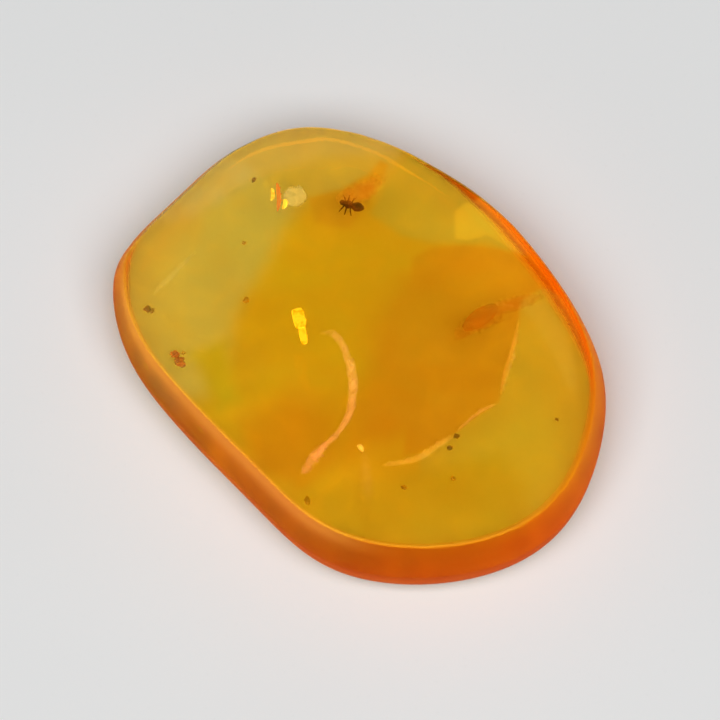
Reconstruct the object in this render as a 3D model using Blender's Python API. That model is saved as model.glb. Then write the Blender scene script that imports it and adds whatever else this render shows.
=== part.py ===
"""A hand-polished piece of amber with a small insect and a plant fragment sealed inside it.

Metres, +Z up. The piece lies on its flat underside at z = 0, its outline is centred on x = 0, and -Y is its
front. The clear body is parted on a level plane, so that the two inclusions lie in closed pockets.
"""

import math

import bmesh
import bpy
from mathutils import Matrix, Vector

MM = 0.001

# Driving dimensions, in millimetres.
LENGTH = 21.0  # across the outline, along X
HEEL = 1.1  # how far the rounded lower edge reaches in from the outline to the flat underside
PARTING_HEIGHT = 2.35  # level of the plane on which the clear body is parted
PARTING_GAP = 0.3
POCKET_CLEARANCE = 0.3

# The outline's corners and bends, anticlockwise from the right-hand end, in millimetres.
OUTLINE = [
    (10.61, -1.50),
    (9.46, 1.80),
    (7.81, 4.46),
    (5.96, 6.76),
    (3.23, 9.07),
    (-0.93, 10.96),
    (-4.99, 10.23),
    (-7.91, 7.55),
    (-9.84, 5.25),
    (-10.39, 3.04),
    (-9.58, -0.45),
    (-6.94, -4.04),
    (-4.19, -7.04),
    (-1.70, -9.44),
    (1.90, -10.50),
    (5.90, -9.95),
    (8.75, -8.05),
    (10.20, -5.10),
]

# The edge by the way it faces: degrees anticlockwise from +X, how far the upper edge reaches in, how full that
# edge is (1 is a plain bevel and 2 a quarter of an ellipse), and the level of the widest outline.
EDGE = [
    (-141, 0.45, 1.06, 2.20),
    (-90, 0.50, 1.15, 2.20),
    (-10, 0.50, 1.20, 2.20),
    (38, 0.65, 1.25, 2.10),
    (54, 1.00, 1.12, 1.50),
    (75, 1.20, 1.10, 1.30),
    (120, 1.20, 1.10, 1.20),
    (150, 1.00, 1.10, 1.40),
    (175, 0.55, 1.15, 2.00),
]

# Flats ground on the upper face: (x, y) of a point on the flat, its height there, the way that it falls
# away (degrees anticlockwise from +X) and how steeply (degrees).
TABLE = (1.0, 0.5, 4.60, -60.0, 1.0)
FLATS = [
    TABLE,
    (-4.4, 0.6, 4.62, 157.0, 7.0),  # the broad flat at the left
    (-0.6, 6.6, 4.60, 132.0, 9.0),  # the back left
    (3.0, 4.6, 4.58, 52.0, 8.0),  # the back right
    (6.7, -0.9, 4.60, -15.0, 9.0),  # the right-hand end
    (2.6, -5.9, 4.62, -62.0, 7.0),  # the front
    (-4.5, -3.5, 4.60, -141.0, 5.0),  # along the straight lower-left side
    (0.5, 8.2, 4.30, 84.0, 13.0),  # the back
]
FLAT_BLEND = 0.04  # millimetres over which neighbouring flats round into each other

# How finely the body is faceted.
AROUND = 90
SHOULDER_RINGS = 7
HEEL_RINGS = 5
TOP_RINGS = 6
LOWER_ROUNDNESS = 1.9  # how full the lower edge is

# The insect: its middle, the way its head points in plan, and its sizes, in millimetres.
INSECT_AT = (-0.25, 6.35, PARTING_HEIGHT)
INSECT_HEADING = 164.0
# Distance along the body from its tail, and half its width there.
INSECT_PROFILE = [
    (0.00, 0.02),
    (0.06, 0.10),
    (0.20, 0.19),
    (0.36, 0.21),
    (0.50, 0.13),
    (0.55, 0.11),
    (0.63, 0.18),
    (0.74, 0.17),
    (0.80, 0.08),
    (0.86, 0.12),
    (0.94, 0.11),
    (1.00, 0.02),
]
INSECT_SIDES = 10
INSECT_FLATNESS = 0.85  # the body's height over its width
# Each leg pair, bent at the knee: where along the body, reach out to the knee and the foot, and sweep
# towards the head.
LEG_PAIRS = [(0.58, 0.28, 0.42, -0.14), (0.68, 0.28, 0.44, 0.04), (0.76, 0.25, 0.38, 0.20)]
LEG_RADIUS = 0.028
LEG_SIDES = 6
FOOT_TAPER = 0.7  # the foot's thickness over the leg's
KNEE_RISE = 0.06
FOOT_DROP = 0.14

# The plant fragment, a curled sliver: its middle, heading and tilt, and its sizes, in millimetres.
FRAGMENT_AT = (5.20, 1.10, PARTING_HEIGHT)
FRAGMENT_HEADING = 38.0
FRAGMENT_TILT = 9.0
FRAGMENT_LENGTH = 2.1
FRAGMENT_WIDTH = 0.78
FRAGMENT_THICKNESS = 0.16
FRAGMENT_CURL = 0.16  # how far its middle rises above its ends
FRAGMENT_POINTEDNESS = 0.8  # higher makes its ends sharper
FRAGMENT_STATIONS = 13
FRAGMENT_SIDES = 10


def closed_curve(points, count):
    """count points spread along the closed Catmull-Rom curve through the given points, as Vectors."""
    corners = [Vector(p) for p in points]
    made = []
    for i in range(count):
        place = i * len(corners) / count
        k, t = int(place), place % 1.0
        a, b, c, d = (corners[(k + j - 1) % len(corners)] for j in range(4))
        made.append(
            0.5 * (2 * b + (c - a) * t + (2 * a - 5 * b + 4 * c - d) * t * t + (3 * b - a - 3 * c + d) * t**3)
        )
    return made


def fitted_outline():
    """The outline centred on x = 0 and LENGTH long in X, with its outward directions."""
    curve = closed_curve(OUTLINE, AROUND)
    low = min(p.x for p in curve)
    high = max(p.x for p in curve)
    scale = LENGTH / (high - low)
    curve = [(p - Vector(((low + high) / 2, 0.0))) * scale for p in curve]
    outward = []
    for i in range(AROUND):
        along = curve[(i + 1) % AROUND] - curve[i - 1]
        outward.append(Vector((along.y, -along.x)).normalized())
    return curve, outward


def face_height(x, y):
    """Height of the upper face: the lowest of the flats' planes, rounded over FLAT_BLEND where they meet."""
    heights = []
    for px, py, height, way, fall in FLATS:
        slope = math.tan(math.radians(fall))
        run = (x - px) * math.cos(math.radians(way)) + (y - py) * math.sin(math.radians(way))
        heights.append(height - slope * run)
    lowest = min(heights)
    return lowest - FLAT_BLEND * math.log(sum(math.exp((lowest - h) / FLAT_BLEND) for h in heights))


def rounded(share, roundness):
    """Rise of a rounded edge, from 0 at the outline to 1 where it meets the face: a superellipse."""
    return (1 - (1 - share) ** roundness) ** (1 / roundness)


def edge_form(outward):
    """The upper edge's width, its fullness and the girth's level where the outline faces that way."""
    facing = math.degrees(math.atan2(outward.y, outward.x))
    before = max((row for row in EDGE if row[0] <= facing), default=EDGE[-1])
    after = min((row for row in EDGE if row[0] > facing), default=EDGE[0])
    share = ((facing - before[0]) % 360) / ((after[0] - before[0]) % 360)
    return [a + (b - a) * share for a, b in zip(before[1:], after[1:])]


def edge_shares(rings):
    """Shares of the edge's width at which its rings stand, closer together near the outline."""
    return [(k / rings) ** 1.5 for k in range(1, rings + 1)]


def body_rings():
    """Rings of points from the underside's edge, out round the girth and up to the middle of the face."""
    curve, outward = fitted_outline()
    forms = [edge_form(n) for n in outward]
    girths = [girth for _, _, girth in forms]
    rings = []
    for share in reversed(edge_shares(HEEL_RINGS)):
        sunk = 1 - rounded(share, LOWER_ROUNDNESS)
        rings.append([(*(p - n * HEEL * share), girth * sunk) for p, n, girth in zip(curve, outward, girths)])
    rings.append([(*p, girth) for p, girth in zip(curve, girths)])
    for share in edge_shares(SHOULDER_RINGS):
        ring = []
        for p, n, (width, fullness, girth) in zip(curve, outward, forms):
            q = p - n * width * share
            top = face_height(q.x, q.y)
            ring.append((*q, girth + (top - girth) * rounded(share, fullness)))
        rings.append(ring)
    inner = [p - n * width for p, n, (width, _, _) in zip(curve, outward, forms)]
    for k in range(1, TOP_RINGS):
        shrink = 1 - k / TOP_RINGS
        rings.append([(*(q * shrink), face_height(*(q * shrink))) for q in inner])
    return rings


def new_object(name, bm, material=None):
    """An object of that name from a bmesh in millimetres, smooth shaded."""
    bmesh.ops.scale(bm, vec=(MM, MM, MM), verts=bm.verts)
    bmesh.ops.recalc_face_normals(bm, faces=bm.faces)
    mesh = bpy.data.meshes.new(name)
    bm.to_mesh(mesh)
    bm.free()
    mesh.shade_smooth()
    mesh.set_sharp_from_angle(angle=math.radians(35))
    if material:
        mesh.materials.append(material)
    made = bpy.data.objects.new(name, mesh)
    bpy.context.scene.collection.objects.link(made)
    return made


def skin_rings(bm, rings, first_tip=None, last_tip=None):
    """Joins rings of points with faces. A tip closes its end as a fan, and without one a flat face does."""
    loops = [[bm.verts.new(p) for p in ring] for ring in rings]
    count = len(loops[0])
    for low, high in zip(loops, loops[1:]):
        for i in range(count):
            j = (i + 1) % count
            bm.faces.new((low[i], low[j], high[j], high[i]))
    for loop, tip in ((loops[0], first_tip), (loops[-1], last_tip)):
        if tip is None:
            bm.faces.new(loop)
            continue
        point = bm.verts.new(tip)
        for i in range(count):
            bm.faces.new((loop[i], loop[(i + 1) % count], point))


def amber_body():
    """The whole outer shape of the polished piece, as a bmesh in millimetres."""
    bm = bmesh.new()
    skin_rings(bm, body_rings(), last_tip=(0.0, 0.0, face_height(0.0, 0.0)))
    return bm


def amber_half(name, upper, material):
    """One half of the clear body: all that lies above, or below, the parting plane and half its gap."""
    bm = amber_body()
    side = 1 if upper else -1
    level = PARTING_HEIGHT + side * PARTING_GAP / 2
    cut = bmesh.ops.bisect_plane(
        bm,
        geom=bm.verts[:] + bm.edges[:] + bm.faces[:],
        dist=1e-6,
        plane_co=(0, 0, level),
        plane_no=(0, 0, side),
        clear_inner=True,
    )
    rim = [e for e in cut["geom_cut"] if isinstance(e, bmesh.types.BMEdge)]
    bmesh.ops.holes_fill(bm, edges=rim)
    return new_object(name, bm, material)


def turned(point, heading, at):
    """A point of an inclusion's own frame, in which it lies along +X, placed in the piece."""
    return Matrix.Translation(at) @ Matrix.Rotation(math.radians(heading), 4, "Z") @ Vector(point)


def insect_body():
    """Abdomen, thorax and head as one turned shape, a little flattened."""
    middle = INSECT_PROFILE[-1][0] / 2
    rings = []
    for along, half in INSECT_PROFILE:
        ring = []
        for i in range(INSECT_SIDES):
            a = math.tau * i / INSECT_SIDES
            point = (along - middle, half * math.cos(a), INSECT_FLATNESS * half * math.sin(a))
            ring.append(turned(point, INSECT_HEADING, INSECT_AT))
        rings.append(ring)
    bm = bmesh.new()
    skin_rings(bm, rings)
    return bm


def leg_pair(along, knee, foot, sweep):
    """A left and a right leg as one bent rod that passes through the body."""
    middle = INSECT_PROFILE[-1][0] / 2
    joints = [
        (along - middle + sweep, foot, -FOOT_DROP),
        (along - middle + sweep / 2, knee, KNEE_RISE),
        (along - middle, 0.0, 0.0),
        (along - middle + sweep / 2, -knee, KNEE_RISE),
        (along - middle + sweep, -foot, -FOOT_DROP),
    ]
    rings = []
    for x, y, z in joints:
        thickness = LEG_RADIUS * (1.0 if abs(y) < foot else FOOT_TAPER)
        ring = []
        for i in range(LEG_SIDES):
            a = math.tau * i / LEG_SIDES
            point = (x + thickness * math.cos(a), y, z + thickness * math.sin(a))
            ring.append(turned(point, INSECT_HEADING, INSECT_AT))
        rings.append(ring)
    bm = bmesh.new()
    skin_rings(bm, rings)
    return bm


def fragment_body():
    """A sliver that narrows to both ends, oval in section, with its middle curled up."""
    middle = Matrix.Translation(FRAGMENT_AT) @ Matrix.Rotation(math.radians(FRAGMENT_HEADING), 4, "Z")
    place = middle @ Matrix.Rotation(math.radians(FRAGMENT_TILT), 4, "X")
    rings = []
    for k in range(1, FRAGMENT_STATIONS):
        share = 2 * k / FRAGMENT_STATIONS - 1
        full = (1 - share * share) ** FRAGMENT_POINTEDNESS
        rise = FRAGMENT_CURL * (1 - share * share) - FRAGMENT_CURL / 2
        ring = []
        for i in range(FRAGMENT_SIDES):
            a = math.tau * i / FRAGMENT_SIDES
            across = FRAGMENT_WIDTH / 2 * full * math.cos(a)
            up = FRAGMENT_THICKNESS / 2 * full**0.5 * math.sin(a) + rise
            ring.append(place @ Vector((FRAGMENT_LENGTH / 2 * share, across, up)))
        rings.append(ring)
    bm = bmesh.new()
    skin_rings(bm, rings)
    return bm


def pocket(name, at, heading, half_sizes):
    """An egg-shaped cutter, hidden in a render, that leaves room round an inclusion of those half sizes."""
    bm = bmesh.new()
    bmesh.ops.create_icosphere(bm, subdivisions=2, radius=1.0)
    shape = Matrix.Diagonal((*(half + POCKET_CLEARANCE for half in half_sizes), 1.0))
    place = Matrix.Translation(at) @ Matrix.Rotation(math.radians(heading), 4, "Z")
    bmesh.ops.transform(bm, matrix=place @ shape, verts=bm.verts)
    cutter = new_object(name, bm)
    cutter.hide_render = True
    cutter.display_type = "WIRE"
    return cutter


def add_boolean(target, other, operation):
    change = target.modifiers.new(f"{operation.lower()} {other.name}", "BOOLEAN")
    change.operation = operation
    change.object = other


def new_material(name, colour, roughness, transmission=0.0, ior=1.5):
    material = bpy.data.materials.new(name)
    material.use_nodes = True
    shader = material.node_tree.nodes["Principled BSDF"]
    shader.inputs["Base Color"].default_value = (*colour, 1.0)
    shader.inputs["Roughness"].default_value = roughness
    shader.inputs["Metallic"].default_value = 0.0
    shader.inputs["Transmission Weight"].default_value = transmission
    shader.inputs["IOR"].default_value = ior
    return material


def main():
    for old in list(bpy.data.objects):
        bpy.data.objects.remove(old)

    amber = new_material("amber", (0.93, 0.52, 0.06), 0.04, transmission=1.0, ior=1.54)
    chitin = new_material("insect_chitin", (0.035, 0.014, 0.006), 0.35)
    bark = new_material("plant_fragment", (0.30, 0.09, 0.02), 0.6)

    halves = [amber_half("amber_upper", True, amber), amber_half("amber_lower", False, amber)]

    insect = new_object("insect", insect_body(), chitin)
    for number, pair in enumerate(LEG_PAIRS, 1):
        legs = new_object(f"leg_pair_{number}", leg_pair(*pair))
        legs.hide_render = True
        legs.display_type = "WIRE"
        add_boolean(insect, legs, "UNION")

    new_object("plant_fragment", fragment_body(), bark)

    foot_reach = max(foot for _, _, foot, _ in LEG_PAIRS)
    body_width = max(half for _, half in INSECT_PROFILE)
    insect_half = (INSECT_PROFILE[-1][0] / 2, foot_reach, INSECT_FLATNESS * body_width)
    fragment_half = (FRAGMENT_LENGTH / 2, FRAGMENT_WIDTH / 2, FRAGMENT_CURL)
    pockets = [
        pocket("insect_pocket", INSECT_AT, INSECT_HEADING, insect_half),
        pocket("fragment_pocket", FRAGMENT_AT, FRAGMENT_HEADING, fragment_half),
    ]
    for half in halves:
        for cutter in pockets:
            add_boolean(half, cutter, "DIFFERENCE")


main()
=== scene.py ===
"""Looks of the polished amber piece: its clear body, what is sealed in it, the floor, the camera and lights.

Every shape is a surface worked out with numpy. Sizes are in millimetres, which skin() turns into metres.
Those of the camera, the floor and the lights are in metres. Directions in plan are degrees anticlockwise
from +X. Colours are linear. The body's form follows the same rules as its solids.
"""

import math

import bpy
import numpy as np
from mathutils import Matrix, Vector


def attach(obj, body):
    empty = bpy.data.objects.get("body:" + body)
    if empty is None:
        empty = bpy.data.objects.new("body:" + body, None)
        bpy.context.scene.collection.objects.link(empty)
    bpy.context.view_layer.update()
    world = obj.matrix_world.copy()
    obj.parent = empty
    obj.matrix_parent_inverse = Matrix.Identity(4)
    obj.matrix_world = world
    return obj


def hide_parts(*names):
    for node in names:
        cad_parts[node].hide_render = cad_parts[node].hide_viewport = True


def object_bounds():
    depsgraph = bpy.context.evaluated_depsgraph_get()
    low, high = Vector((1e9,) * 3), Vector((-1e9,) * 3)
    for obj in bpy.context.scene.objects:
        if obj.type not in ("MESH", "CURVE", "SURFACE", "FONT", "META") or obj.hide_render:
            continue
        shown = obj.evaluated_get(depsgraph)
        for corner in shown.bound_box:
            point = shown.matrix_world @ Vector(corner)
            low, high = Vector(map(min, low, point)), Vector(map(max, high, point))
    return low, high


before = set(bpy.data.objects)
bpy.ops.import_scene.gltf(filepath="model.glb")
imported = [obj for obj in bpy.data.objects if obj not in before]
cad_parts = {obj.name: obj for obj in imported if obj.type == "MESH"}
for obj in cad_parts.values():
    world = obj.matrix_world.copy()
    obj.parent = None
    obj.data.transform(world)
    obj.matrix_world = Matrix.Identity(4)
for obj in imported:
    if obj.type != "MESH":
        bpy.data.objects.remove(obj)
cad_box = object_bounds()

MM = 0.001
BODY = "root"

# ---- The polished body ----------------------------------------------------------------------------------

PARTING_HEIGHT = 2.35  # level at which the solids are parted, near mid-height
HEEL = 1.1  # how far the rounded lower edge reaches in
LOWER_ROUNDNESS = 1.9
# The upper edge by the way it faces: degrees, its width, how full it is (1 is a plain bevel), and the level
# of the widest outline.
EDGE = [
    (-141, 0.45, 1.06, 2.20),
    (-90, 0.50, 1.15, 2.20),
    (-10, 0.50, 1.20, 2.20),
    (38, 0.65, 1.25, 2.10),
    (54, 1.00, 1.12, 1.50),
    (75, 1.20, 1.10, 1.30),
    (120, 1.20, 1.10, 1.20),
    (150, 1.00, 1.10, 1.40),
    (175, 0.55, 1.15, 2.00),
]
OUTLINE = [
    (10.61, -1.50),
    (9.46, 1.80),
    (7.81, 4.46),
    (5.96, 6.76),
    (3.23, 9.07),
    (-0.93, 10.96),
    (-4.99, 10.23),
    (-7.91, 7.55),
    (-9.84, 5.25),
    (-10.39, 3.04),
    (-9.58, -0.45),
    (-6.94, -4.04),
    (-4.19, -7.04),
    (-1.70, -9.44),
    (1.90, -10.50),
    (5.90, -9.95),
    (8.75, -8.05),
    (10.20, -5.10),
]
OUTLINE_HARMONICS = 11  # the outline keeps this many waves, which rounds off its finer kinks
# Flats ground on the upper face: x, y and height of a point on the flat, the way it falls, and how steeply.
FLATS = [
    (1.0, 0.5, 4.60, -60, 1.0),
    (-4.4, 0.6, 4.62, 157, 7.0),
    (-0.6, 6.6, 4.60, 132, 9.0),
    (3.0, 4.6, 4.58, 52, 8.0),
    (6.7, -0.9, 4.60, -15, 9.0),
    (2.6, -5.9, 4.62, -62, 7.0),
    (-4.5, -3.5, 4.60, -141, 5.0),
    (0.5, 8.2, 4.30, 84, 13.0),
]
FLAT_BLEND = 0.035  # how softly the flats run into each other
# Points round each ring, and the rings of each part of the surface, from the underside up to the face.
AROUND = 440
UNDERSIDE_RINGS, HEEL_RINGS, SHOULDER_RINGS, FACE_RINGS = 12, 26, 44, 84
RING_CROWDING = 1.6  # the power by which an edge's rings crowd towards the outline
# Slow waves that hand polishing leaves.
WAVES = 9
WAVE_LENGTHS = (2.2, 6.5)
WAVE_HEIGHT = 0.0035
WAVE_SEED = 5

# Small chips out of the edges: x, y, z of the middle, radius and depth.
CHIPS = [
    (0.60, 9.35, 4.0, 0.34, 0.10),
    (4.20, 7.70, 3.9, 0.42, 0.12),
    (3.30, 8.25, 3.9, 0.26, 0.06),
    (-8.95, -1.2, 3.3, 0.30, 0.05),
    (-6.6, -4.2, 3.4, 0.26, 0.04),
    (10.1, -1.0, 3.0, 0.30, 0.05),
]

# ---- Colours of the resin -------------------------------------------------------------------------------

RESIN_COLOUR, RESIN_DENSITY, RESIN_IOR = (0.985, 0.845, 0.0, 1.0), 400.0, 1.54
GLOSS_COLOUR = (1.0, 0.5, 0.1, 1.0)
# Two runs of polishing scratches: the turn of each in radians and how its noise is stretched, and how much
# rougher they are than the face.
SCRATCHES = (0.6, (1.0, 0.08, 1.0)), (-0.9, (0.07, 1.0, 1.0))
SCRATCH_RISE = 0.1
# What broad clouds in the resin do to its tinting and to its painted light, and the painted light of the
# small wisps.
CLOUD_TINT, CLOUD_PAINTED_GLOW = (1.0, 0.93, 0.90), (1.1, 0.80, 0.6)
WISP_PAINTED_GLOW, WISP_SHARES = (0.20, 0.12, 0.01), (0.06, 0.18)

# The resin outside the zones: how its face tints what passes, and the painted light that stands in for the
# light that its haze sends back.
PLAIN_TINT, PLAIN_PAINTED_GLOW = (1.0, 0.92, 0.74), (0.075, 0.062, 0.0)
ZONE_FADE = 0.5  # the zones fade in over this height above the parting level
# Zones of the face: how soft the zone's edge is, how it tints, its painted light, and its corners. Later
# ones lie on top.
ZONES = {
    "orange_heart": (1.3, (0.97, 0.78, 0.62), (0.06, 0.028, 0.0), [
        (1.9, 2.2), (3.5, 2.4), (6.0, 2.0), (6.0, -2.0), (3.5, -4.2), (1.2, -5.2), (-0.9, -5.3), (-1.1, -4.4),
        (0.1, -3.0), (0.7, -1.0), (1.0, 0.8)]),
    "right_orange": (0.3, (0.97, 0.78, 0.62), (0.06, 0.028, 0.0), [
        (2.3, 3.2), (3.1, 3.65), (4.6, 3.85), (6.1, 3.7), (7.2, 3.2), (9.5, 2.6), (9.5, -1.0), (6.5, -1.2),
        (6.0, -3.3), (4.3, -4.9), (2.5, -5.8), (1.9, -5.9), (2.2, -3.0), (2.2, 1.5)]),
    "orange_light": (1.5, (1.0, 0.80, 0.64), (0.09, 0.042, 0.0), [
        (3.2, 3.2), (5.5, 3.4), (7.6, 3.0), (8.4, 1.6), (4.5, 1.6)]),
    "olive_left": (1.6, (0.90, 0.81, 0.72), (0.045, 0.038, 0.0), [
        (-6.8, -0.5), (-4.0, -0.7), (-4.2, -3.3), (-6.4, -3.3)]),
    "left_pale": (1.2, (1.0, 1.0, 1.0), (0.04, 0.085, 0.034), [
        (1.9, 8.0), (0.6, 6.3), (-2.1, 6.0), (-3.1, 4.8), (-3.9, 2.9), (-4.7, 1.6), (-5.2, 0.3), (-5.6, -1.8),
        (-6.4, -3.2), (-12.0, -4.0), (-12.0, 12.0), (1.9, 12.0)]),
    "top_pale": (1.0, (1.0, 1.0, 1.0), (0.04, 0.100, 0.070), [
        (-12.0, 5.0), (-7.0, 5.4), (-4.5, 7.3), (-1.5, 8.2), (1.6, 8.4), (3.0, 12.0), (-12.0, 12.0)]),
    "back_pale": (0.45, (1.0, 0.99, 0.95), (0.01, 0.065, 0.014), [
        (0.5, 5.3), (1.3, 7.0), (2.1, 8.1), (3.2, 9.0), (9.5, 4.0), (7.4, 3.5), (5.3, 3.95), (3.2, 3.9),
        (1.8, 4.3)]),
    "back_bright": (0.14, (1.0, 1.0, 1.0), (0.15, 0.160, 0.016), [
        (4.12, 5.5), (4.12, 4.15), (4.7, 4.1), (5.5, 4.4), (6.5, 3.75), (7.0, 3.5), (6.1, 4.8), (5.4, 5.55),
        (4.6, 6.05)]),
    "right_pale": (0.22, (1.0, 0.98, 0.92), (0.03, 0.060, 0.008), [
        (6.9, 1.25), (6.65, -0.6), (6.4, -1.5), (6.1, -2.6), (5.9, -3.5), (4.5, -4.5), (3.9, -5.1),
        (2.6, -6.0), (2.4, -8.6), (9.0, -9.5), (12.0, -4.0), (9.6, 1.0), (7.9, 1.9)]),
    "right_streak": (0.3, (1.0, 1.0, 1.0), (0.06, 0.095, 0.020), [
        (6.9, 0.9), (7.9, 1.2), (8.7, 0.0), (9.15, -1.6), (9.2, -2.9), (8.8, -2.7), (8.2, -1.2),
        (7.6, -0.1)]),
    "front_orange": (1.3, (1.0, 0.83, 0.62), (0.06, 0.035, 0.0), [
        (-4.8, -3.8), (-2.8, -2.7), (-0.9, -3.1), (-0.2, -4.2), (0.2, -5.6), (-0.6, -6.4), (-2.6, -7.2),
        (-4.4, -6.2)]),
    "front_brown": (1.0, (1.0, 0.74, 0.5), (0.04, 0.020, 0.0), [
        (-4.9, -4.4), (-3.0, -3.6), (-1.1, -4.2), (-1.1, -5.6), (-2.2, -7.4), (-4.2, -6.4)]),
    "green_strip": (0.9, (0.90, 0.97, 0.9), (0.03, 0.055, 0.0), [
        (-7.0, -1.2), (-5.6, -0.6), (-5.0, -3.4), (-5.8, -3.9)]),
    "front_olive": (1.2, (0.88, 0.87, 0.70), (0.035, 0.034, 0.0), [
        (-2.0, -7.6), (0.2, -7.0), (1.25, -6.9), (3.6, -6.3), (5.9, -5.8), (7.0, -7.2), (7.0, -9.6),
        (-1.0, -9.9)]),
    "edge_shadow": (0.16, (0.60, 0.48, 0.4), (0.03, 0.012, 0.0), [
        (2.9, 7.75), (3.6, 7.35), (4.4, 6.65), (4.9, 6.1), (5.3, 6.3), (4.4, 7.5), (3.1, 8.5)]),
    "insect_orange": (0.32, (1.0, 0.84, 0.66), (0.055, 0.036, 0.003), [
        (-2.1, 6.1), (-0.7, 6.5), (0.45, 7.3), (0.95, 8.0), (1.3, 7.8), (1.12, 7.1), (0.35, 5.6), (-0.4, 4.6),
        (-1.8, 4.8)]),
}
# The painted light of the edges, which stands in for light running round inside the resin, by the way an
# edge faces: degrees, how far in from the outline it reaches, the width of its fade, its strength, and the
# level where it starts, as a share of the parting level.
RIM_PAINTED_GLOW = [
    (-141, 0.55, 0.10, 0.62, 0.25),
    (-100, 0.70, 0.20, 0.80, 0.25),
    (-60, 0.80, 0.30, 1.0, 0.25),
    (-5, 0.90, 0.40, 1.0, 0.25),
    (15, 0.95, 0.40, 1.0, -0.1),
    (38, 1.05, 0.50, 1.0, -0.1),
    (56, 0.80, 0.80, 0.8, 0.1),
    (75, 0.50, 0.60, 0.8, 0.45),
    (100, 0.70, 0.60, 0.9, 0.5),
    (140, 1.20, 0.90, 1.0, 0.45),
    (165, 1.10, 0.70, 1.0, 0.25),
    (200, 0.75, 0.30, 0.68, 0.2),
]
RIM_FOOT_FADE = 0.4  # the height over which the painted light rises from its foot
# The colour of the edges' painted light
RIM_PAINTED_LIGHT = (0.23, 0.024, 0.0)
RIM_PAINTED_SHADE = (0.08, 0.20, 0.35)  # painted shade: the share of the light through the edges that is kept back, by colour
# Roughness of the face and of the edges, at their roughest from this much of the edges' painted light on.
FACE_ROUGHNESS, RIM_ROUGHNESS, RIM_ROUGH_FROM = 0.025, 0.34, 0.5
# Painted darker patches in the edges' painted light, which stand in for internal reflections: their colour,
# level and height, and their strength by the way an edge faces.
EMBER_PAINTED_SHADE = (0.12, 0.0, 0.0)
EMBER_LEVEL, EMBER_SPREAD = 3.0, 0.8
EMBER_STRENGTH, EMBER_FRONT_EXTRA = 0.6, 0.4
# The patches along the edge: their mean, and the length and height of their main, drifting and fine waves.
EMBER_MEAN, EMBER_MAIN, EMBER_DRIFT, EMBER_FINE = 0.6, (2.3, 0.5), (5.1, 1.4), (1.3, 0.25)
# A painted highlight line where the front left edge meets the face: its colour, how far outside the bevel's
# end it runs, its width, and the way and the half angle of the stretch of edge that shows it.
LINE_PAINTED_HIGHLIGHT = (0.36, 0.15, 0.03)
LINE_OFFSET, LINE_WIDTH = 0.06, 0.13
FRONT_LEFT_WAY, FRONT_LEFT_REACH = -140, 34.0

# ---- What is sealed in the resin ------------------------------------------------------------------------

VEIL_THICKNESS = 0.04
BLADE_STATIONS, BLADE_SIDES = 90, 12
BLADE_WAVES = (7.0, 15.0, 31.0)  # how fast a blade's edges waver
SIGHT_SLOPE = 0.289  # a line of sight inside the resin runs back by this much for each unit that it sinks

# Finishes of cracks and veils: the surface's colour, the painted light that stands in for the light it sends
# back, how dense it is, and the level of the blade's core at which it gets that dense.
VEILS = {
    "crack_peach": ((0.95, 0.62, 0.50), (0.50, 0.25, 0.10), 0.48, 1.1),
    "crack_rose": ((0.95, 0.62, 0.52), (0.50, 0.25, 0.11), 0.42, 1.0),
    "crack_straw": ((0.95, 0.70, 0.40), (0.44, 0.22, 0.02), 0.34, 1.0),
    "crack_ember": ((0.8, 0.25, 0.01), (0.34, 0.065, 0.0), 1.0, 0.25),
    # The finish of the painted glint
    "painted_glint": ((0.95, 0.75, 0.4), (0.80, 0.46, 0.06), 0.75, 0.9),
    "veil_ember": ((0.8, 0.28, 0.02), (0.29, 0.09, 0.0), 0.30, 1.0),
    "veil_rusty": ((0.55, 0.17, 0.01), (0.26, 0.10, 0.0), 0.42, 1.2),
    "veil_milky": ((0.95, 0.80, 0.50), (0.26, 0.18, 0.03), 0.45, 0.5),
    "veil_faint": ((0.95, 0.80, 0.5), (0.42, 0.28, 0.05), 0.15, 1.2),
    "veil_mist": ((0.95, 0.72, 0.5), (0.40, 0.20, 0.045), 0.09, 1.5),
    "veil_haze": ((0.95, 0.72, 0.5), (0.36, 0.17, 0.04), 0.34, 1.1),
}
VEIL_SHADE, VEIL_DIM, VEIL_THIN = 0.8, 0.78, 0.72  # colour, painted light and density that are left between patches
# The sun spangle's colours and its painted glint, between its lobes and on them.
SPANGLE_COLOURS = (0.95, 0.50, 0.03), (1.0, 0.78, 0.12)
SPANGLE_PAINTED_GLINTS = (0.50, 0.25, 0.0), (0.80, 0.46, 0.02)
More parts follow.
